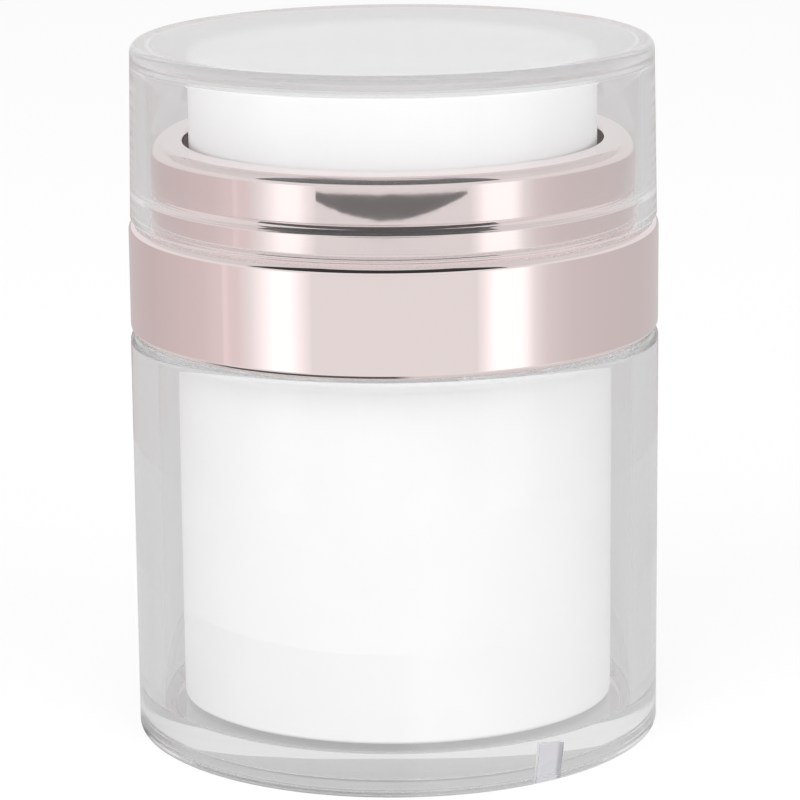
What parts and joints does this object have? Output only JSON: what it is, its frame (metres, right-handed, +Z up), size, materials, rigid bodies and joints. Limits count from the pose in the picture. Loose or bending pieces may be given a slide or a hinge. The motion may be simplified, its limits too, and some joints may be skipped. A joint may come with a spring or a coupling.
{
  "type": "airless pump cream jar",
  "caption": "Airless pump cream jar: clear double-walled body, white inner cup, metallised collar, wide press head and clear overcap.",
  "frame": {"origin": "centre of the foot of the outer jar, on the plane that the jar stands on", "axes": "+Z up along the jar's axis; -Y is the front of the picture, +X is its right"},
  "size_m": [0.062, 0.062, 0.082],
  "materials": {
    "clear_acrylic": "clear, polished",
    "white_polypropylene": "white, satin gloss",
    "rose_gold_metallised": "metallised plastic under clear lacquer, mirror gloss",
    "natural_polypropylene": "natural, as moulded",
    "white_polyethylene": "soft white, as moulded",
    "silicone": "translucent, as moulded",
    "stainless_steel": "drawn wire and polished ball"
  },
  "bodies": {
    "jar": {"outer_jar": "clear_acrylic", "inner_cup": "white_polypropylene"},
    "follower": {"follower_piston": "white_polyethylene"},
    "lift": {"sealing_gasket": "silicone"},
    "pump": {"pump_carrier": "white_polypropylene", "collar_shell": "rose_gold_metallised", "chamber_gasket": "silicone", "pump_chamber": "natural_polypropylene", "chamber_cap": "white_polypropylene", "return_spring": "stainless_steel"},
    "ball": {"inlet_ball": "stainless_steel"},
    "head": {"press_head": "white_polypropylene", "stem": "natural_polypropylene", "piston_seal": "white_polyethylene"},
    "valve": {"outlet_valve": "silicone"},
    "cap": {"overcap": "clear_acrylic"}
  },
  "joints": [
    {"name": "follower_rise", "type": "slide", "parent": "jar", "child": "follower", "axis": [0, 0, 1], "range_m": [0, 0.0274]},
    {"name": "thread_lift", "type": "slide", "parent": "jar", "child": "lift", "axis": [0, 0, 1], "range_m": [0, 0.0046]},
    {"name": "unscrew_turn", "type": "hinge", "parent": "lift", "child": "pump", "pos_m": [0, 0, 0.0582], "axis": [0, 0, 1], "range_deg": [0, 540]},
    {"name": "head_press", "type": "slide", "parent": "pump", "child": "head", "axis": [0, 0, -1], "range_m": [0, 0.0055], "stiffness_N_per_m": 500, "springref_m": -0.002, "deforming": ["return_spring"]},
    {"name": "inlet_ball_lift", "type": "slide", "parent": "pump", "child": "ball", "axis": [0, 0, 1], "range_m": [0, 0.0008]},
    {"name": "outlet_valve_lift", "type": "slide", "parent": "head", "child": "valve", "axis": [0, 0, 1], "range_m": [0, 0.0008]},
    {"name": "cap_pull", "type": "slide", "parent": "pump", "child": "cap", "axis": [0, 0, 1], "range_m": [0, 0.025]}
  ],
  "couplings": [
    {"joint": "thread_lift", "follows": "unscrew_turn", "m_per_rad": 0.00047746}
  ]
}
